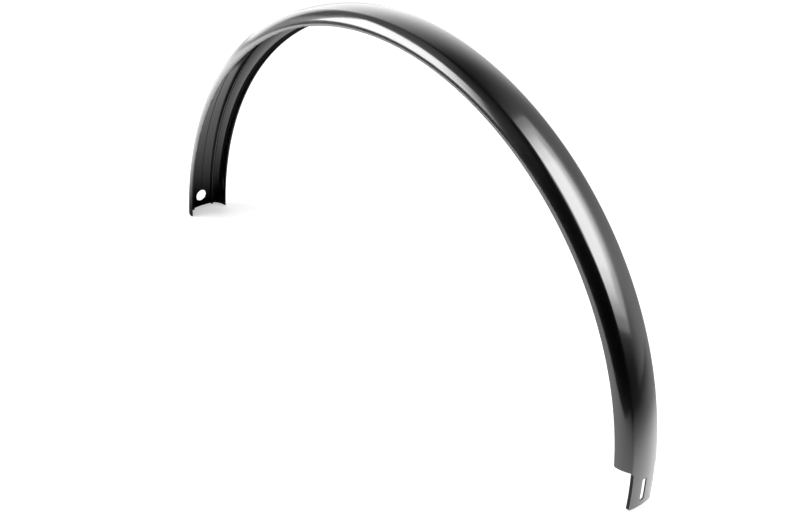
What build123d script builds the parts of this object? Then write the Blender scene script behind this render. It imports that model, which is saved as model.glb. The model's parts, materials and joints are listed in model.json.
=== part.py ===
from build123d import *
from math import asin, atan2, cos, degrees, radians, sin, sqrt, tan
import os

# Long rear mudguard blade for a 28 inch wheel, one piece of black plastic.
# It stands on its two ends: X runs from the rear end to the tongue, Y across the blade, Z up.
# The origin is on the floor, in the middle of the blade's box.

# Section of the blade
edge_radius = 350.0      # wheel centre to the free edges of the side walls
width = 53.0             # across the free edges
crown_width = 36.0       # from crease to crease
side_radius = 20.0       # round of the side walls, which are upright at the free edge
crown_rise = 2.0         # middle of the crown above the creases
wall = 1.5               # thickness everywhere
edge_round = 0.5         # rounding of the free edges
crease_round = 1.5       # rounding of the two creases
rib_width = 2.8          # inside ribs that run along the creases
rib_height = 2.8
rib_round = 0.5
groove_width = 1.2       # fine groove along the middle of the inside
groove_depth = 0.5

# Both ends run on below the wheel centre and are cut level
end_drop = 8.7

# Front end: the side walls stop, and the crown goes on to the floor as a tongue
tongue_width = 32.0
root_height = 45.0       # floor to the corners between the side walls and the tongue
root_round = 5.0         # rounding of those corners
wall_slant = 17.0        # degrees by which the walls' ends rise outwards from the tongue
corner_round = 3.0       # lower corners of the side walls
tip_round = 1.5          # corners of the tip
slot_length = 26.0
slot_width = 6.0
slot_round = 1.0
slot_setback = 20.0      # middle of the slot to the tip

# Rear end: a round hole in the crown
hole_diameter = 15.0
hole_setback = 15.0      # middle of the hole to the end

# Worked out from the sizes above
half_width = width / 2
half_crown = crown_width / 2
half_tongue = tongue_width / 2
side_centre = half_width - side_radius
crease_height = sqrt(side_radius**2 - (half_crown - side_centre) ** 2)
crown_radius = (half_crown**2 + crown_rise**2) / (2 * crown_rise)
depth = crease_height + crown_rise
crown_centre = depth - crown_radius
top_radius = edge_radius + depth
hub = Vector(0, 0, end_drop)
end_angle = degrees(asin(end_drop / top_radius))
slot_angle = degrees(slot_setback / top_radius) - end_angle
hole_angle = 180 + end_angle - degrees(hole_setback / top_radius)
overrun = degrees(asin((end_drop + depth) / edge_radius))  # the arch is swept below the floor, then cut
wall_rise = tan(radians(wall_slant))


def outward(angle):
    """Direction from the wheel centre to the blade, at an angle above the front."""
    return Vector(cos(radians(angle)), 0, sin(radians(angle)))


def facing(angle):
    """Plane square to the blade at an angle, seen from outside."""
    return Plane(origin=hub + outward(angle) * top_radius, x_dir=(0, 1, 0), z_dir=outward(angle))


def crease_point(inset):
    """Height and half width where a side and the crown meet, both set in by a distance."""
    side, crown = side_radius - inset, crown_radius - inset
    gap = sqrt(side_centre**2 + crown_centre**2)
    along = (side**2 - crown**2 + gap**2) / (2 * gap)
    off = sqrt(side**2 - along**2)
    to_crown = Vector(crown_centre, -side_centre) / gap
    return Vector(0, side_centre) + to_crown * along + Vector(to_crown.Y, -to_crown.X) * off


def inside_height(y):
    """Height of the crown's inner face above the free edges, at a distance from the middle."""
    return crown_centre + sqrt((crown_radius - wall) ** 2 - y**2)


with BuildPart() as mudguard_blade:
    section_plane = Plane(origin=hub, x_dir=outward(-overrun), z_dir=outward(-overrun - 90))
    with BuildSketch(section_plane) as section:
        for inset, mode in ((0, Mode.ADD), (wall, Mode.SUBTRACT)):
            crease = crease_point(inset)
            side_turn = degrees(atan2(crease.Y - side_centre, crease.X))
            crown_turn = degrees(atan2(crease.Y, crease.X - crown_centre))
            with BuildLine():
                side = CenterArc((edge_radius, side_centre), side_radius - inset, 90, side_turn - 90)
                mirror(side, about=Plane.XZ)
                CenterArc(
                    (edge_radius + crown_centre, 0), crown_radius - inset, crown_turn, -2 * crown_turn
                )
                Line((edge_radius, half_width - inset), (edge_radius, inset - half_width))
            make_face(mode=mode)
        rib_middle = half_tongue - rib_width / 2
        rib_foot = edge_radius + inside_height(rib_middle)
        rib_tip = rib_foot - rib_height
        with Locations((rib_tip, rib_middle), (rib_tip, -rib_middle)):
            Rectangle(rib_height + wall / 2, rib_width, align=(Align.MIN, Align.CENTER))
        with Locations((edge_radius + inside_height(0), 0)):
            Rectangle(2 * groove_depth, groove_width, mode=Mode.SUBTRACT)
        fillet(section.vertices().group_by(Axis.X)[0], edge_round)
        for y in (half_crown, -half_crown):
            crease_corner = section.vertices().sort_by_distance((edge_radius + crease_height, y))[0]
            fillet(crease_corner, crease_round)
        rib_corners = section.vertices().filter_by_position(Axis.X, rib_tip - rib_round, rib_tip + rib_round)
        fillet(rib_corners, rib_round)

    # The blade: the section swept round the wheel centre, both ends cut level with the floor
    revolve(axis=Axis(hub, (0, -1, 0)), revolution_arc=180 + 2 * overrun)
    split(bisect_by=Plane.XY, keep=Keep.TOP)

    # The side walls are cut away beside the tongue, with round corners at its root and tip
    with BuildSketch(Plane.YZ) as beside_tongue:
        root_corner = (half_tongue, root_height)
        tip_corner = (half_tongue, 0)
        with BuildLine():
            Polyline(
                (width, root_height + (width - half_tongue) * wall_rise),
                root_corner,
                tip_corner,
                (0, 0),
                (0, -depth),
                (width, -depth),
                close=True,
            )
        make_face()
        fillet(beside_tongue.vertices().sort_by_distance(root_corner)[0], root_round)
        fillet(beside_tongue.vertices().sort_by_distance(tip_corner)[0], tip_round)
        mirror(about=Plane.YZ)
    extrude(amount=2 * top_radius, mode=Mode.SUBTRACT)

    # The lower corners of the side walls are rounded: the round touches the wall's end and the free edge
    with BuildSketch(Plane.XZ):
        round_height = root_height + (half_width - half_tongue) * wall_rise + corner_round
        round_x = sqrt((edge_radius + corner_round) ** 2 - (round_height - end_drop) ** 2)
        middle = Vector(round_x, round_height)
        inward = (Vector(0, end_drop) - middle).normalized() * 2 * corner_round
        down = Vector(0, -2 * corner_round)
        Polygon(middle, middle + inward, middle + inward + down, middle + down, align=None)
        with Locations(middle):
            Circle(corner_round, mode=Mode.SUBTRACT)
    extrude(amount=width, both=True, mode=Mode.SUBTRACT)

    # Slot along the tongue
    with BuildSketch(facing(slot_angle)):
        RectangleRounded(slot_width, slot_length, slot_round)
    extrude(amount=depth, both=True, mode=Mode.SUBTRACT)

    # Round hole through the crown near the rear end
    with Locations(facing(hole_angle)):
        Hole(hole_diameter / 2, depth=depth)

mudguard_blade.part.label = "mudguard_blade"
os.makedirs("parts", exist_ok=True)
export_step(mudguard_blade.part, "parts/mudguard_blade.step")

box = mudguard_blade.part.bounding_box()
print("blade", box.size, "volume", mudguard_blade.part.volume, "solids", len(mudguard_blade.part.solids()))
print("box", box.min, box.max)
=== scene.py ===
# %% [markdown]
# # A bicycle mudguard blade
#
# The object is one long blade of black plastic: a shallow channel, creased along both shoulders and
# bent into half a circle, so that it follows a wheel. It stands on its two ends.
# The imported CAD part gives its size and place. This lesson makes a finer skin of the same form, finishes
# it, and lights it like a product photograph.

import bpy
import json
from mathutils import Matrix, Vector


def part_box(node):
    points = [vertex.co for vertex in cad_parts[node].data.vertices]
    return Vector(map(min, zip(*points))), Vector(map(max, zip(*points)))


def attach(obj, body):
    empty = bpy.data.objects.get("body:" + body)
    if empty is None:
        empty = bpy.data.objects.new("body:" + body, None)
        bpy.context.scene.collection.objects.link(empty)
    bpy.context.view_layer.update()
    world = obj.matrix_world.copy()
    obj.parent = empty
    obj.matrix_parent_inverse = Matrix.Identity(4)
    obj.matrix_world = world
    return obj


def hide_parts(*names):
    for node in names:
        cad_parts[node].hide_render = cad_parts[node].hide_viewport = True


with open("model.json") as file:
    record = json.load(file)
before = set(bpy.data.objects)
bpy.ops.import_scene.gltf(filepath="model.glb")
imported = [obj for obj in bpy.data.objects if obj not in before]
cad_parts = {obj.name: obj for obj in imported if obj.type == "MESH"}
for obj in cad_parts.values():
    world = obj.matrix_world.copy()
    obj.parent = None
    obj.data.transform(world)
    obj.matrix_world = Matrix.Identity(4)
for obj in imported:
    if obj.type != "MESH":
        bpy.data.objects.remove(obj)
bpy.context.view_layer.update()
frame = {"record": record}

import json
import math

import bmesh
import bpy
from mathutils import Matrix, Vector

scene = bpy.context.scene
scene.view_settings.view_transform = "Standard"

# %% [markdown]
# ## Camera
#
# The photograph looks down on the arch from the tongue's side, a little to the right.
# A viewing direction can be written as two angles, as on a globe: the azimuth turns round the object and
# the elevation rises above the floor. That is easier to read and to correct than three coordinates.
# The roll tips the picture a few degrees, as a hand-held camera does.

# %% Point the camera
photo_lens = 64.434         # millimetres
photo_azimuth = 45.729      # degrees, like the next two
photo_elevation = 31.011
photo_roll = 4.344
photo_distance = 1.56595    # metres from the target
photo_target = Vector((0.0070, 0.0, 0.1046))


def toward(azimuth, elevation):
    """Direction from the object to a place round it: azimuth 0 is -Y, 90 is +X."""
    turn = math.radians(azimuth)
    rise = math.radians(elevation)
    level = math.cos(rise)
    return Vector((math.sin(turn) * level, -math.cos(turn) * level, math.sin(rise)))


def aimed(place, direction, roll=0.0):
    """Matrix of a camera or lamp at a place, looking back along a direction."""
    turn = (-direction).to_track_quat("-Z", "Y").to_matrix().to_4x4()
    return Matrix.Translation(place) @ turn @ Matrix.Rotation(math.radians(roll), 4, "Z")


camera = bpy.data.objects.new("camera", bpy.data.cameras.new("camera"))
scene.collection.objects.link(camera)
camera.data.lens = photo_lens
view_back = toward(photo_azimuth, photo_elevation)
camera.matrix_world = aimed(photo_target + view_back * photo_distance, view_back, photo_roll)
scene.camera = camera
print("camera at", [round(v, 3) for v in camera.location])

# %% [markdown]
# ## The blade's section
#
# A blade like this is formed from a strip, so it has the same section all along: two rounded side walls,
# a slightly arched crown, a crease on each shoulder, and on the inside two low ribs and a fine groove.
# A section could be drawn by hand as a curve. Here it is worked out from a few sizes in millimetres, with
# every round as an arc, so that each round can have as many points as it needs. The sizes are the CAD
# part's, apart from two rounds: the creases are softer and the free edges sharper by about a tenth of a
# millimetre, as the highlights in the photograph show them. Wheel radius and height come from the frame.

# %% Sizes of the section
low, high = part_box("mudguard_blade")
mm = 0.001
top_radius = (high.x - low.x) / 2 / mm    # wheel centre to the middle of the crown
end_drop = high.z / mm - top_radius       # wheel centre to the floor
width = 53.0                              # across the free edges
crown_width = 36.0                        # from crease to crease
side_radius = 20.0                        # round of the side walls
crown_rise = 2.0                          # middle of the crown above the creases
wall = 1.5                                # thickness everywhere
edge_round = 0.3                          # rounding of the free edges
crease_round = 5.0                        # rounding of the two creases
rib_width = 2.8
rib_height = 2.8
rib_round = 0.5
rib_outside = 16.0                        # middle of the blade to the outer face of a rib
groove_width = 1.2
groove_depth = 0.5

half_crown = crown_width / 2
side_centre = width / 2 - side_radius
crease_height = math.sqrt(side_radius**2 - (half_crown - side_centre) ** 2)
crown_radius = (half_crown**2 + crown_rise**2) / (2 * crown_rise)
crown_centre = crease_height + crown_rise - crown_radius
edge_radius = top_radius - crease_height - crown_rise
print("wheel centre to free edges %.2f mm, ends %.2f mm below the centre" % (edge_radius, end_drop))

# %% Arcs of the section


def arc(across, height, radius, start, end, steps):
    """Points of an arc. Angles in degrees run from straight up (0) to the side (90) and down (180)."""
    points = []
    for step in range(steps + 1):
        turn = math.radians(start + (end - start) * step / steps)
        points.append((across + radius * math.sin(turn), height + radius * math.cos(turn)))
    return points


def crease_corner(inset):
    """Where a side wall and the crown meet, both set in by a distance."""
    side = side_radius - inset
    crown = crown_radius - inset
    gap = math.hypot(side_centre, crown_centre)
    along = (side**2 - crown**2 + gap**2) / (2 * gap)
    off = math.sqrt(side**2 - along**2)
    across_dir = -side_centre / gap
    height_dir = crown_centre / gap
    return side_centre + across_dir * along - height_dir * off, height_dir * along + across_dir * off


def inside_height(across):
    """Height of the crown's inner face above the free edges."""
    return crown_centre + math.sqrt((crown_radius - wall) ** 2 - across**2)


def crown_turn(across, radius):
    """Angle on the crown's arc at a distance from the middle."""
    return math.degrees(math.asin(across / radius))


corner_across, corner_height = crease_corner(crease_round)
crease_from = math.degrees(math.atan2(corner_across, corner_height - crown_centre))
crease_to = math.degrees(math.atan2(corner_across - side_centre, corner_height))
print("the crease turns the surface by %.1f degrees" % (crease_to - crease_from))

# %% Outside of one half of the section
crown_steps = 18
crease_steps = 12
side_steps = 18
edge_steps = 5
outer_edge_across = side_centre + math.sqrt((side_radius - edge_round) ** 2 - edge_round**2)
outer_edge_turn = math.degrees(math.atan2(outer_edge_across - side_centre, edge_round))

half_outside = arc(0, crown_centre, crown_radius, 0, crease_from, crown_steps)
half_outside += arc(corner_across, corner_height, crease_round, crease_from, crease_to, crease_steps)[1:]
half_outside += arc(side_centre, 0, side_radius, crease_to, outer_edge_turn, side_steps)[1:]
half_outside += arc(outer_edge_across, edge_round, edge_round, outer_edge_turn, 180, edge_steps)[1:]
print("outside of half the section:", len(half_outside), "points")

# %% Inside of one half of the section
inner_side_steps = 16
shoulder_steps = 2
rib_steps = 4
inner_crown_steps = 12
inner_radius = side_radius - wall
inner_edge_across = side_centre + math.sqrt((inner_radius + edge_round) ** 2 - edge_round**2)
inner_edge_turn = math.degrees(math.atan2(inner_edge_across - side_centre, edge_round))
inner_crown = crown_radius - wall
inner_corner = crease_corner(wall)
inner_side_turn = math.degrees(math.atan2(inner_corner[0] - side_centre, inner_corner[1]))
shoulder_turn = crown_turn(inner_corner[0], inner_crown)
rib_inside = rib_outside - rib_width
rib_tip = inside_height(rib_outside - rib_width / 2) - rib_height
rib_outer_turn = crown_turn(rib_outside, inner_crown)
rib_inner_turn = crown_turn(rib_inside, inner_crown)
half_groove = groove_width / 2
groove_turn = crown_turn(half_groove, inner_crown)

half_inside = arc(inner_edge_across, edge_round, edge_round, 180, 180 + inner_edge_turn, edge_steps)
half_inside += arc(side_centre, 0, inner_radius, inner_edge_turn, inner_side_turn, inner_side_steps)[1:]
half_inside += arc(0, crown_centre, inner_crown, shoulder_turn, rib_outer_turn, shoulder_steps)[1:]
half_inside += arc(rib_outside - rib_round, rib_tip + rib_round, rib_round, 90, 180, rib_steps)
half_inside += arc(rib_inside + rib_round, rib_tip + rib_round, rib_round, 180, 270, rib_steps)
half_inside += arc(0, crown_centre, inner_crown, rib_inner_turn, groove_turn, inner_crown_steps)
half_inside += [(half_groove, inside_height(0) + groove_depth)]
print("inside of half the section:", len(half_inside), "points")

# %% Close the section into a loop
half_section = half_outside + half_inside
other_half = [(-across, height) for across, height in reversed(half_section[1:])]
section = half_section + other_half
outside_last = len(half_outside) - 1
outside_again = len(section) - outside_last


def is_outside(point):
    """True where the strip from this point to the next belongs to the outer skin."""
    return point < outside_last or point >= outside_again


print("whole section:", len(section), "points")

# %% [markdown]
# ## Sweeping the section round the wheel
#
# In the factory rollers bend the strip into its arch. The same thing in mesh code is a sweep: copies
# of the section stand at even angles round the wheel centre, and strips of four-sided faces join them.
# A curve object with a bevel profile could do this too, but here every face can be told at once whether
# it is part of the smooth outer skin or of the inside, which get different finishes.
# The arch is swept a little too far at both ends and then cut level with the floor, as the real ends are.

# %% Sweep the section
sweep_steps = 320
overrun = math.degrees(math.asin((end_drop + crease_height + crown_rise) / edge_radius))
finishes = ["outer_skin", "inner_skin", "cut_faces"]
hub = Vector((0.0, 0.0, end_drop * mm))


def outward(angle):
    """Direction from the wheel centre to the blade at an angle above the front end."""
    return Vector((math.cos(math.radians(angle)), 0.0, math.sin(math.radians(angle))))


def sweep_section():
    """The arch as a closed ring of strips, open at both ends."""
    blade = bmesh.new()
    rings = []
    for step in range(sweep_steps + 1):
        direction = outward(-overrun + (180 + 2 * overrun) * step / sweep_steps)
        ring = []
        for across, height in section:
            place = hub + direction * (edge_radius + height) * mm
            place.y = across * mm
            ring.append(blade.verts.new(place))
        rings.append(ring)
    for ring, next_ring in zip(rings, rings[1:]):
        for point in range(len(section)):
            following = (point + 1) % len(section)
            corners = (ring[point], ring[following], next_ring[following], next_ring[point])
            face = blade.faces.new(corners)
            face.material_index = finishes.index("outer_skin" if is_outside(point) else "inner_skin")
    return blade


arch = sweep_section()
print("swept arch:", len(arch.verts), "points,", len(arch.faces), "faces")

# %% Cut both ends level with the floor
parts = arch.verts[:] + arch.edges[:] + arch.faces[:]
bmesh.ops.bisect_plane(arch, geom=parts, plane_co=(0, 0, 0), plane_no=(0, 0, 1), clear_inner=True)
open_edges = [edge for edge in arch.edges if edge.is_boundary]
end_faces = bmesh.ops.holes_fill(arch, edges=open_edges, sides=0)["faces"]
for face in end_faces:
    face.material_index = finishes.index("cut_faces")
bmesh.ops.recalc_face_normals(arch, faces=arch.faces)
blade_mesh = bpy.data.meshes.new("mudguard")
arch.to_mesh(blade_mesh)
arch.free()
blade = bpy.data.objects.new("mudguard", blade_mesh)
scene.collection.objects.link(blade)
print("end faces:", len(end_faces), "lowest point", min(v.co.z for v in blade_mesh.vertices))

# %% [markdown]
# ## Punching the ends
#
# After rolling, a press cuts the ends: the side walls are trimmed away so that the crown runs on as a
# tongue, a slot in the tongue lets the fixing bolt slide, and a round hole is punched near the rear end.
# Boolean modifiers are the same idea: a closed cutter is taken away from the blade.
# Each cutter is an outline drawn in a plane and pulled straight through, so one helper makes them all.
# Faces that a cutter leaves keep the cutter's material number, so they come out as cut plastic. The trim
# shaves a hair off the tongue's sides too, because on the real blade they are cut as well.

# %% A cutter from an outline
x_axis = Vector((1.0, 0.0, 0.0))
y_axis = Vector((0.0, 1.0, 0.0))
z_axis = Vector((0.0, 0.0, 1.0))


def cutter(name, outline, origin, u_axis, v_axis, reach):
    """Closed prism: the outline lies in the plane of two axes and is pulled both ways by a reach."""
    prism = bmesh.new()
    through = u_axis.cross(v_axis).normalized() * reach * mm
    sides = []
    for shift in (-through, through):
        points = [origin + shift + u_axis * u * mm + v_axis * v * mm for u, v in outline]
        sides.append([prism.verts.new(point) for point in points])
    prism.faces.new(list(reversed(sides[0])))
    prism.faces.new(sides[1])
    for point in range(len(outline)):
        following = (point + 1) % len(outline)
        prism.faces.new((sides[0][point], sides[0][following], sides[1][following], sides[1][point]))
    bmesh.ops.recalc_face_normals(prism, faces=prism.faces)
    mesh = bpy.data.meshes.new(name)
    prism.to_mesh(mesh)
    prism.free()
    for finish in finishes:
        mesh.materials.append(None)
    for polygon in mesh.polygons:
        polygon.material_index = finishes.index("cut_faces")
    made = bpy.data.objects.new(name, mesh)
    scene.collection.objects.link(made)
    return made


print("cutter helper ready")

# %% Cutters beside the tongue
shave = 0.02
half_tongue = rib_outside - shave
root_height = 45.0     # floor to the corners between the side walls and the tongue
root_round = 5.0
root_steps = 16
wall_slant = 17.0      # degrees by which the walls' ends rise outwards from the tongue
tip_round = 1.5
tip_steps = 6
slant = math.tan(math.radians(wall_slant))
far_out = width
below_floor = -10.0
walls_reach = 40.0

fillet_across = half_tongue + root_round
fillet_height = root_height + root_round * slant - root_round / math.cos(math.radians(wall_slant))
beside = [(far_out, root_height + (far_out - half_tongue) * slant)]
beside += arc(fillet_across, fillet_height, root_round, -wall_slant, -90, root_steps)
beside += arc(half_tongue - tip_round, tip_round, tip_round, 90, 180, tip_steps)
beside += [(half_tongue - tip_round, below_floor), (far_out, below_floor)]
front = Vector((top_radius * mm, 0.0, 0.0))
cutters = [cutter("trim_right", beside, front, y_axis, z_axis, walls_reach)]
cutters += [cutter("trim_left", [(-u, v) for u, v in beside], front, y_axis, z_axis, walls_reach)]
print("the tongue is", 2 * half_tongue, "mm wide and its root", root_height, "mm above the floor")

# %% Cutter for the lower corners of the side walls
corner_round = 3.0
corner_steps = 10
round_height = root_height + (width / 2 - half_tongue) * slant + corner_round
round_x = math.sqrt((edge_radius + corner_round) ** 2 - (round_height - end_drop) ** 2)
inward_turn = math.degrees(math.atan2(-round_x, end_drop - round_height))
spare = 2 * corner_round
wedge = arc(round_x, round_height, corner_round, 180, 360 + inward_turn, corner_steps)
inward_u = math.sin(math.radians(inward_turn)) * spare
inward_v = math.cos(math.radians(inward_turn)) * spare
wedge += [(round_x + inward_u, round_height + inward_v)]
wedge += [(round_x + inward_u, round_height + inward_v - spare), (round_x, round_height - spare)]
cutters += [cutter("round_corners", wedge, Vector(), x_axis, z_axis, width)]
print("the side walls end %.1f mm above the floor" % (round_height - corner_round))

# %% Cutters for the slot and the hole
mounts = {mount["name"]: mount for mount in frame["record"]["mounts"]}
slot_length = 26.0
slot_width = 6.0
slot_round = 1.0
slot_steps = 5
hole_steps = 96
punch_reach = 8.0

slot_outline = []
for turn, side_u, side_v in ((0, 1, 1), (90, 1, -1), (180, -1, -1), (270, -1, 1)):
    round_u = side_u * (slot_width / 2 - slot_round)
    round_v = side_v * (slot_length / 2 - slot_round)
    slot_outline += arc(round_u, round_v, slot_round, turn, turn + 90, slot_steps)
hole_outline = arc(0, 0, mounts["rear_hole"]["dims"]["r_mm"], 0, 360, hole_steps)[:-1]

for name, mount, outline in (
    ("punch_slot", "tongue_slot", slot_outline),
    ("punch_hole", "rear_hole", hole_outline),
):
    place = Vector(mounts[mount]["pos_m"])
    upward = Vector(mounts[mount]["axis"]).cross(y_axis)
    cutters.append(cutter(name, outline, place, y_axis, upward, punch_reach))
    print(name, "at", [round(v, 4) for v in place])

# %% Cut the blade
for finish in finishes:
    blade_mesh.materials.append(None)
for tool in cutters:
    cut = blade.modifiers.new(tool.name, "BOOLEAN")
    cut.operation = "DIFFERENCE"
    cut.solver = "EXACT"
    cut.object = tool
depsgraph = bpy.context.evaluated_depsgraph_get()
cut_mesh = bpy.data.meshes.new_from_object(blade.evaluated_get(depsgraph))
blade.modifiers.clear()
blade.data = cut_mesh
for tool in cutters:
    bpy.data.objects.remove(tool)
print("cut blade:", len(cut_mesh.vertices), "points,", len(cut_mesh.polygons), "faces")

# %% Shade it smooth, with sharp cut edges
sharp_angle = 35.0
cut_mesh.polygons.foreach_set("use_smooth", [True] * len(cut_mesh.polygons))
cut_mesh.set_sharp_from_angle(angle=math.radians(sharp_angle))
check = bmesh.new()
check.from_mesh(cut_mesh)
open_edges = sum(not edge.is_manifold for edge in check.edges)
print("edges that aren't closed:", open_edges, "volume %.0f mm3" % (check.calc_volume() / mm**3))
check.free()
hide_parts("mudguard_blade")
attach(blade, "root")

# %% [markdown]
# ## Effects that the finishes share
#
# Black plastic looks dead when it is one flat colour. Close up, a rolled blade has fine lines along its
# length from the rollers, a soft unevenness of the skin, and dull rubbed free edges.
# All three finishes of the blade use these effects in different strengths, so each effect is a node group:
# it is built once and placed in a material with its own values.
# The lines must follow the arch, so each group first turns the position into wheel coordinates:
# the way along the rim, the way across, and the distance from the wheel centre.

# %% Helpers for nodes


def add_node(tree, kind, **settings):
    """A new node in a tree, with its settings."""
    node = tree.nodes.new(kind)
    for name, value in settings.items():
        setattr(node, name, value)
    return node


def feed(tree, socket, value):
    """Set a socket to a number, or link it from another socket."""
    if isinstance(value, bpy.types.NodeSocket):
        tree.links.new(value, socket)
    else:
        socket.default_value = value


def math_node(tree, operation, first, second=None, third=None, clamp=False):
    """A Math node; each input is a number or a socket to link from."""
    node = add_node(tree, "ShaderNodeMath", operation=operation, use_clamp=clamp)
    for socket, value in zip(node.inputs, (first, second, third)):
        if value is not None:
            feed(tree, socket, value)
    return node.outputs[0]


def ramp(tree, value, start, end, low_value=0.0, high_value=1.0):
    """A smooth step from one value to another."""
    node = add_node(tree, "ShaderNodeMapRange", interpolation_type="SMOOTHSTEP")
    tree.links.new(value, node.inputs["Value"])
    ends = {"From Min": start, "From Max": end, "To Min": low_value, "To Max": high_value}
    for name, number in ends.items():
        node.inputs[name].default_value = number
    return node.outputs["Result"]


def vector(tree, x, y, z=0.0):
    """Three numbers or sockets as one vector."""
    node = add_node(tree, "ShaderNodeCombineXYZ")
    for socket, value in zip(node.inputs, (x, y, z)):
        feed(tree, socket, value)
    return node.outputs[0]


def noise(tree, place, scale, detail, roughness=0.5):
    """A soft noise at a place; the scale is a number or a socket to link from."""
    node = add_node(tree, "ShaderNodeTexNoise")
    tree.links.new(place, node.inputs["Vector"])
    feed(tree, node.inputs["Scale"], scale)
    node.inputs["Detail"].default_value = detail
    node.inputs["Roughness"].default_value = roughness
    return node.outputs["Fac"]


print("node helpers ready")

# %% Helpers for groups


def new_group(name, inputs, outputs):
    """An empty node group with number sockets, and its inner ends."""
    group = bpy.data.node_groups.new(name, "ShaderNodeTree")
    for label, value in inputs.items():
        socket = group.interface.new_socket(label, in_out="INPUT", socket_type="NodeSocketFloat")
        socket.default_value = value
    for label in outputs:
        group.interface.new_socket(label, in_out="OUTPUT", socket_type="NodeSocketFloat")
    return group, add_node(group, "NodeGroupInput"), add_node(group, "NodeGroupOutput")


def wheel_coordinates(tree):
    """Sockets for the way along the rim, the way across and the distance out, all in millimetres."""
    position = add_node(tree, "ShaderNodeTexCoord")
    split = add_node(tree, "ShaderNodeSeparateXYZ")
    tree.links.new(position.outputs["Object"], split.inputs[0])
    ahead = math_node(tree, "MULTIPLY", split.outputs["X"], 1 / mm)
    across = math_node(tree, "MULTIPLY", split.outputs["Y"], 1 / mm)
    above = math_node(tree, "MULTIPLY_ADD", split.outputs["Z"], 1 / mm, -end_drop)
    angle = math_node(tree, "ARCTAN2", above, ahead)
    along = math_node(tree, "MULTIPLY", angle, top_radius)
    squares = math_node(tree, "MULTIPLY_ADD", ahead, ahead, math_node(tree, "MULTIPLY", above, above))
    return along, across, math_node(tree, "SQRT", squares)


print("group helpers ready")

# %% Drawn lines along the blade
line_detail = 3.0
line_roughness = 0.6
line_mask = (0.35, 0.7)    # noise at which a line starts, and is full

lines, lines_in, lines_out = new_group(
    "drawn_lines", {"Lines per mm": 1.0, "Length mm": 120.0}, ("Height", "Mask")
)
along, across, out = wheel_coordinates(lines)
lengthwise = math_node(lines, "DIVIDE", along, lines_in.outputs["Length mm"])
round_section = math_node(lines, "ADD", across, out)
crosswise = math_node(lines, "MULTIPLY", round_section, lines_in.outputs["Lines per mm"])
streaks = noise(lines, vector(lines, lengthwise, crosswise), 1.0, line_detail, line_roughness)
lines.links.new(streaks, lines_out.inputs["Height"])
lines.links.new(ramp(lines, streaks, *line_mask), lines_out.inputs["Mask"])
print("group", lines.name)

# %% Skin of the plastic: a fine grain and wide soft patches
grain_detail = 2.0
patch_detail = 4.0
patch_mask = (0.35, 0.65)

skin, skin_in, skin_out = new_group(
    "plastic_skin", {"Grain per mm": 1.2, "Patch mm": 45.0}, ("Grain", "Patches")
)
place = vector(skin, *wheel_coordinates(skin))
grain = noise(skin, place, skin_in.outputs["Grain per mm"], grain_detail)
patch_scale = math_node(skin, "DIVIDE", 1.0, skin_in.outputs["Patch mm"])
patches = noise(skin, place, patch_scale, patch_detail)
skin.links.new(grain, skin_out.inputs["Grain"])
skin.links.new(ramp(skin, patches, *patch_mask), skin_out.inputs["Patches"])
print("group", skin.name)

# %% Rubbed free edges
ragged_per_mm = 0.25
ragged_detail = 5.0
ragged_mask = (0.4, 0.65)

rub, rub_in, rub_out = new_group("edge_rub", {"Reach mm": 1.6}, ("Mask",))
along, across, out = wheel_coordinates(rub)
ragged = noise(rub, vector(rub, along, across, out), ragged_per_mm, ragged_detail)
above_edge = math_node(rub, "SUBTRACT", out, edge_radius)
near = math_node(rub, "DIVIDE", above_edge, rub_in.outputs["Reach mm"])
near = math_node(rub, "SUBTRACT", 1.0, near, clamp=True)
worn = math_node(rub, "MULTIPLY", near, ramp(rub, ragged, *ragged_mask))
rub.links.new(worn, rub_out.inputs["Mask"])
print("group", rub.name)

# %% [markdown]
# ## Black plastic
#
# The outer skin mirrors the lamps clearly, with a faint haze round the streaks, as plastic does that ran over
# polished rollers. The inside is smooth and shows the drawn lines most. The cut faces are matt and a trace
# greyer, because a punch tears plastic rather than polishing it.
# One gloss value can't give both a clear streak and a haze, so the outside has a clear coat over a rougher
# body. One function makes all three finishes from a Principled shader: constant values sit on its own
# sockets, and the groups drive colour, roughness, coat weight and bump.

# %% A black plastic
dull_lines = 0.3
dull_patches = 0.3
dull_edges = 0.8
coat_blur = 0.11
coat_strength = 1.8


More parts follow.
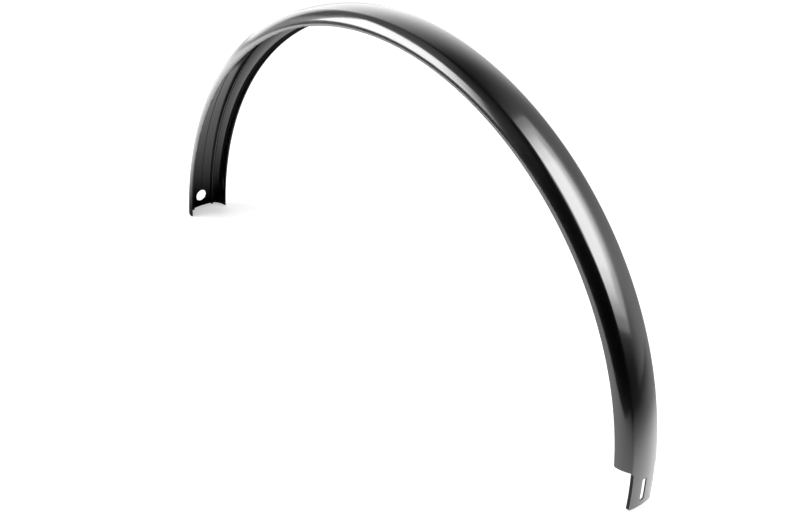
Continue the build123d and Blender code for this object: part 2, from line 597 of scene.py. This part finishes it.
def plastic(name, colours, gloss, roughness, coat, line_size, line_depth, grain_per_mm, grain_depth):
    """A black plastic: colour and roughness between two values, with lines, grain and rubbed edges."""
    material = bpy.data.materials.new(name)
    material.use_nodes = True
    tree = material.node_tree
    shader = tree.nodes["Principled BSDF"]
    shader.inputs["Specular IOR Level"].default_value = gloss
    shader.inputs["Coat Roughness"].default_value = coat_blur
    shader.inputs["Coat IOR"].default_value = coat_strength
    drawn = add_node(tree, "ShaderNodeGroup", node_tree=lines)
    drawn.inputs["Lines per mm"].default_value = line_size[0]
    drawn.inputs["Length mm"].default_value = line_size[1]
    surface = add_node(tree, "ShaderNodeGroup", node_tree=skin)
    surface.inputs["Grain per mm"].default_value = grain_per_mm
    edges = add_node(tree, "ShaderNodeGroup", node_tree=rub)

    dullness = math_node(tree, "MULTIPLY", drawn.outputs["Mask"], dull_lines)
    dullness = math_node(tree, "MULTIPLY_ADD", surface.outputs["Patches"], dull_patches, dullness)
    dullness = math_node(tree, "MULTIPLY_ADD", edges.outputs["Mask"], dull_edges, dullness, clamp=True)
    tree.links.new(ramp(tree, dullness, 0.0, 1.0, *roughness), shader.inputs["Roughness"])

    if coat > 0:
        unrubbed = math_node(tree, "MULTIPLY_ADD", edges.outputs["Mask"], -coat, coat)
        tree.links.new(unrubbed, shader.inputs["Coat Weight"])

    colour = add_node(tree, "ShaderNodeMix", data_type="RGBA")
    colour.inputs["A"].default_value = (*colours[0], 1.0)
    colour.inputs["B"].default_value = (*colours[1], 1.0)
    tree.links.new(dullness, colour.inputs["Factor"])
    tree.links.new(colour.outputs["Result"], shader.inputs["Base Color"])

    relief = math_node(tree, "MULTIPLY", drawn.outputs["Height"], line_depth)
    relief = math_node(tree, "MULTIPLY_ADD", surface.outputs["Grain"], grain_depth, relief)
    bump = add_node(tree, "ShaderNodeBump")
    bump.inputs["Distance"].default_value = mm
    bump.inputs["Strength"].default_value = 1.0
    tree.links.new(relief, bump.inputs["Height"])
    tree.links.new(bump.outputs["Normal"], shader.inputs["Normal"])
    return material


print("coat of index", coat_strength, "ready")

# %% The three finishes
deep_black = (0.0040, 0.0040, 0.0042)
soft_black = (0.0065, 0.0065, 0.0068)
torn_black = (0.0110, 0.0110, 0.0114)

looks = {
    "outer_skin": plastic(
        "gloss_outside",
        colours=(deep_black, soft_black),
        gloss=0.4,
        roughness=(0.29, 0.39),
        coat=1.0,
        line_size=(0.15, 900.0),
        line_depth=0.0001,
        grain_per_mm=1.2,
        grain_depth=0.0012,
    ),
    "inner_skin": plastic(
        "drawn_inside",
        colours=(deep_black, soft_black),
        gloss=1.0,
        roughness=(0.06, 0.13),
        coat=0.15,
        line_size=(0.9, 300.0),
        line_depth=0.0006,
        grain_per_mm=2.0,
        grain_depth=0.0008,
    ),
    "cut_faces": plastic(
        "torn_edges",
        colours=(soft_black, torn_black),
        gloss=0.2,
        roughness=(0.45, 0.65),
        coat=0.0,
        line_size=(2.5, 4.0),
        line_depth=0.008,
        grain_per_mm=4.0,
        grain_depth=0.008,
    ),
}
for number, finish in enumerate(finishes):
    cut_mesh.materials[number] = looks[finish]
    faces = sum(polygon.material_index == number for polygon in cut_mesh.polygons)
    print(looks[finish].name, "on", faces, "faces")

# %% [markdown]
# ## Light
#
# A glossy black thing shows almost nothing but reflections, so its light is placed where the photograph
# shows white bands: a wide soft box low on the left, whose band runs along the top of the near wall, and a
# long leaning box behind on the right, whose band runs down the crown of the right leg.
# A real soft box fades towards its edges, but an area lamp is equally bright all over. So each box is a
# stack of panels a centimetre apart: all of them shine in the middle and fewer towards the edges.
# The panels are given by the angles at which the blade sees them, and the lamps' sizes and powers follow.
# The right box only draws its streak: it leaves no second shadow on the floor, as in the photograph.

# %% A soft box
arch_middle = Vector((0.0, 0.0, 0.25))
lamp_distance = 1.6
panel_gap = 0.01


def soft_box(name, azimuth, elevation, roll, brightness, panels):
    """Area lamps close behind each other that face the arch and together make one soft-edged box."""
    direction = toward(azimuth, elevation)
    boxes = []
    for number, angles in enumerate(panels):
        distance = lamp_distance + panel_gap * number
        left, right, half_high = [distance * math.tan(math.radians(angle)) for angle in angles]
        lamp = bpy.data.lights.new(name, "AREA")
        lamp.shape = "RECTANGLE"
        lamp.size = left + right
        lamp.size_y = 2 * half_high
        lamp.energy = brightness / len(panels) * math.pi * lamp.size * lamp.size_y
        box = bpy.data.objects.new(name, lamp)
        scene.collection.objects.link(box)
        to_side = Matrix.Translation(((right - left) / 2, 0.0, 0.0))
        box.matrix_world = aimed(arch_middle + direction * distance, direction, roll) @ to_side
        box.visible_camera = False
        boxes.append(box)
        print(box.name, "%.2f x %.2f m, %.0f W" % (lamp.size, lamp.size_y, lamp.energy))
    return boxes


print("soft boxes stand", lamp_distance, "m from the arch")

# %% The two boxes
# Each panel: degrees to the left, to the right, and half the height
left_panels = [(18.4, right, 14.8) for right in (12.0, 16.0, 20.0, 24.0)]
right_panels = [
    (52.0, 13.0, 17.0),
    (38.0, 10.0, 21.0),
    (29.0, 7.0, 24.0),
    (22.0, 9.0, 26.0),
    (16.0, 15.0, 29.0),
    (12.0, 17.5, 33.0),
]
soft_box("lamp_left", azimuth=-41.6, elevation=17.4, roll=3.0, brightness=8.2, panels=left_panels)
right_box = soft_box(
    "lamp_right", azimuth=122.7, elevation=40.2, roll=-28.3, brightness=7.5, panels=right_panels
)
for panel in right_box:
    panel.visible_diffuse = False

# %% [markdown]
# ## Room
#
# Round the back of the set stands a pale backdrop, brightest on the left, that fades into a dark ceiling
# and a dark room in front. It could be a curved mesh, but it matters only in the reflections, so it is part
# of the world: a few soft patches, each bright within some angle of its middle, times a soft step in height
# and one at the backdrop's edge. Fainter glows are added after that, where light spills on the ceiling and
# beside the left box. Camera and transmission rays see plain white instead, with the Light Path node.

# %% Patches of light in the room
# Each patch: azimuth, elevation, angle where it starts, angle where it is full, brightness
backdrop_patches = (
    (209.0, 0.0, 90.0, 63.0, 0.85),
    (-120.0, 0.0, 60.0, 40.0, 0.95),
    (-92.0, 8.0, 32.0, 15.0, 1.4),
)
near_glows = (
    (-64.0, 41.0, 28.0, 12.0, 0.33),
    (-18.0, 40.0, 28.0, 6.0, 0.12),
    (-66.0, -1.0, 14.0, 4.0, 0.9),
    (178.0, 48.0, 22.0, 6.0, 0.13),
)
backdrop_edge = toward(-165.0, -25.0)
edge_fade = (-0.05, 0.10)
height_fade = (0.95, 0.1)
print("backdrop of", len(backdrop_patches), "patches and", len(near_glows), "glows")

# %% World
white = (1.0, 1.0, 1.0, 1.0)
world = bpy.data.worlds.new("studio")
scene.world = world
world.use_nodes = True
sky = world.node_tree
sky.nodes.clear()
ray_direction = add_node(sky, "ShaderNodeTexCoord").outputs["Generated"]


def facing(direction):
    """How far a ray turns towards a direction: 1 along it, 0 across."""
    node = add_node(sky, "ShaderNodeVectorMath", operation="DOT_PRODUCT")
    node.inputs[1].default_value = direction
    sky.links.new(ray_direction, node.inputs[0])
    return node.outputs["Value"]


def patch(azimuth, elevation, start, full, brightness):
    """A soft round patch of light, as a socket."""
    inside = (math.cos(math.radians(start)), math.cos(math.radians(full)))
    return ramp(sky, facing(toward(azimuth, elevation)), *inside, 0.0, brightness)


def background(strength):
    """A white background; the strength is a number or a socket to link from."""
    node = add_node(sky, "ShaderNodeBackground")
    node.inputs["Color"].default_value = white
    feed(sky, node.inputs["Strength"], strength)
    return node.outputs[0]


room = 0.0
for numbers in backdrop_patches:
    room = math_node(sky, "ADD", patch(*numbers), room)
room = math_node(sky, "MULTIPLY", room, ramp(sky, facing(backdrop_edge), *edge_fade))
room = math_node(sky, "MULTIPLY", room, ramp(sky, facing(z_axis), *height_fade))
for numbers in near_glows:
    room = math_node(sky, "ADD", patch(*numbers), room)
rays = add_node(sky, "ShaderNodeLightPath").outputs
plain = math_node(sky, "ADD", rays["Is Camera Ray"], rays["Is Transmission Ray"], clamp=True)
choose = add_node(sky, "ShaderNodeMixShader")
sky.links.new(plain, choose.inputs["Fac"])
sky.links.new(background(room), choose.inputs[1])
sky.links.new(background(1.0), choose.inputs[2])
sky.links.new(choose.outputs[0], add_node(sky, "ShaderNodeOutputWorld").inputs["Surface"])
print("world", world.name, "with", len(sky.nodes), "nodes")

# %% [markdown]
# ## Floor
#
# The blade stands on a white sheet. Its outline matters, because past its edges the black skin mirrors the
# dark room: that draws the dark wall of the right leg and the thin dark line along the top of the near wall.
# More light would make the sheet white but wash out the black, so the sheet adds a white of its own.
# The camera sees an even sheet, full white far away, with a painted contact shadow from the Ambient Occlusion
# node in its colour and its own white. On the rear half its own white is lower and the painted shadow
# stronger, and on the tongue's half painted fill light raises it, so that the shadow shows at the rear foot
# and hardly at the tongue.
# Reflections see painted pools of light behind the tongue and on the left, and painted shade towards the rear
# foot and the far right. The Light Path node tells these rays apart.

# %% White sheet
# Corners of the sheet, x and y in metres
sheet_outline = (
    (-0.17, -1.28),
    (0.06, -0.95),
    (0.23, -0.67),
    (0.39, -0.38),
    (0.53, -0.28),
    (1.20, -0.33),
    (1.20, 0.60),
    (2.00, 2.80),
    (-3.00, 2.80),
    (-3.00, -0.78),
    (-1.70, -0.45),
    (-1.45, -0.82),
    (-0.75, -1.08),
)
floor_mesh = bpy.data.meshes.new("floor")
floor_mesh.from_pydata([(x, y, 0.0) for x, y in sheet_outline], [], [range(len(sheet_outline))])
floor = bpy.data.objects.new("floor", floor_mesh)
scene.collection.objects.link(floor)
print("sheet with", len(sheet_outline), "corners")

# %% Brightness of the sheet
paper_grey = 0.9               # share of the lamps' light that it returns
sheet_white = 0.75             # its own white
# On the tongue's half the camera's white is raised: painted fill light that washes out the blade's shadow
# there.
tongue_fill_light = 0.92            # the same on the tongue's half, for the camera
tongue_to_rear = (0.1, -0.1)   # x where the tongue's half ends, and where the rear half starts
far_reach = (0.7, 1.3)         # distance where full white starts for the camera, and is reached
sheet_middle = (0.0, 0.0, 0.0)

# Painted contact shadow for the camera: Ambient Occlusion darkens the sheet's colour and its own white near
# the blade.
contact_reach = 0.20
contact_samples = 8
contact_tongue = 0.1           # strength of the contact shadow on the tongue's half
contact_rear = 0.36            # and on the rear half

# Painted pools of light on the sheet, seen only in reflections: x, y, reach, brightness
painted_light_pools = (
    (0.33, 0.20, 0.30, 2.0),
    (-0.12, -0.05, 0.40, 0.9),
    (-0.60, -0.70, 0.50, 0.5),
    (-1.35, -0.25, 0.90, 1.25),
)
# Painted shade in reflections: the sheet darkens towards the rear foot, like the foot's shadow, and towards
# the far right.
rear_foot = (-0.36, 0.0, 0.0)
foot_shade = (0.005, 0.20)     # distance from the rear foot where reflections are dark, and are full
right_fade = (0.25, 0.95)      # x where reflections start to fade, and are dark
fade_lean = -0.6               # how that moves with y behind the blade
fade_lean_from = 0.3
print("sheet with", len(painted_light_pools), "bright spots")

# %% Places and rays on the sheet
paper = bpy.data.materials.new("white_sheet")
paper.use_nodes = True
sheet = paper.node_tree
sheet.nodes.clear()
rays = add_node(sheet, "ShaderNodeLightPath").outputs
place = add_node(sheet, "ShaderNodeTexCoord").outputs["Object"]
split = add_node(sheet, "ShaderNodeSeparateXYZ")
sheet.links.new(place, split.inputs[0])
sheet_x = split.outputs["X"]
sheet_y = split.outputs["Y"]


def away_from(point):
    """Distance of a place on the sheet from a point, as a socket."""
    node = add_node(sheet, "ShaderNodeVectorMath", operation="DISTANCE")
    sheet.links.new(place, node.inputs[0])
    node.inputs[1].default_value = point
    return node.outputs["Value"]


def camera_or_mirror(for_camera, for_mirrors):
    """One socket for rays that the skin mirrors, and another for all other rays."""
    node = add_node(sheet, "ShaderNodeMix")
    sheet.links.new(rays["Is Glossy Ray"], node.inputs["Factor"])
    sheet.links.new(for_camera, node.inputs["A"])
    sheet.links.new(for_mirrors, node.inputs["B"])
    return node.outputs["Result"]


print("material", paper.name)

# %% White, painted light and painted shade of the sheet
# For the camera: the sheet's own white, raised on the tongue's half by painted fill light, and full white far
# away.
camera_white_and_fill = ramp(sheet, sheet_x, *tongue_to_rear, tongue_fill_light, sheet_white)
far_white = ramp(sheet, away_from(sheet_middle), *far_reach)
camera_white_and_fill = math_node(sheet, "MAXIMUM", camera_white_and_fill, far_white)
# For reflections: the sheet's own white plus the painted pools of light.
mirror_white_and_pools = sheet_white
for x, y, reach, brightness in painted_light_pools:
    light_pool = ramp(sheet, away_from((x, y, 0.0)), reach, 0.0, 0.0, brightness)
    mirror_white_and_pools = math_node(sheet, "ADD", light_pool, mirror_white_and_pools)
white_and_painted_light = camera_or_mirror(camera_white_and_fill, mirror_white_and_pools)

# Painted contact shadow: Ambient Occlusion, raised to a power that is larger on the rear half.
corner = add_node(sheet, "ShaderNodeAmbientOcclusion", samples=contact_samples)
corner.inputs["Distance"].default_value = contact_reach
contact = ramp(sheet, sheet_x, *tongue_to_rear, contact_tongue, contact_rear)
camera_shade = math_node(sheet, "POWER", corner.outputs["AO"], contact)
# Painted shade for reflections: darker near the rear foot and towards the far right.
behind = math_node(sheet, "MAXIMUM", math_node(sheet, "SUBTRACT", sheet_y, fade_lean_from), 0.0)
to_right = math_node(sheet, "MULTIPLY_ADD", behind, fade_lean, sheet_x)
clear_of_foot = ramp(sheet, away_from(rear_foot), *foot_shade)
clear_of_right = ramp(sheet, to_right, *right_fade, 1.0, 0.0)
mirror_shade = math_node(sheet, "MULTIPLY", clear_of_foot, clear_of_right)
shade = camera_or_mirror(camera_shade, mirror_shade)
print("sheet shaded with", len(sheet.nodes), "nodes")

# %% Put the sheet's finish together
seen = math_node(sheet, "ADD", rays["Is Camera Ray"], rays["Is Glossy Ray"])
seen = math_node(sheet, "ADD", seen, rays["Is Transmission Ray"], clamp=True)
# The sheet's glow and its diffuse colour both carry the painted light and the painted shade.
glow = math_node(sheet, "MULTIPLY", math_node(sheet, "MULTIPLY", seen, white_and_painted_light), shade)
shining = add_node(sheet, "ShaderNodeEmission")
sheet.links.new(glow, shining.inputs["Strength"])
lit = add_node(sheet, "ShaderNodeBsdfDiffuse")
sheet.links.new(math_node(sheet, "MULTIPLY", shade, paper_grey), lit.inputs["Color"])
both = add_node(sheet, "ShaderNodeAddShader")
sheet.links.new(lit.outputs[0], both.inputs[0])
sheet.links.new(shining.outputs[0], both.inputs[1])
sheet.links.new(both.outputs[0], add_node(sheet, "ShaderNodeOutputMaterial").inputs["Surface"])
floor_mesh.materials.append(paper)
print("floor finish", paper.name)
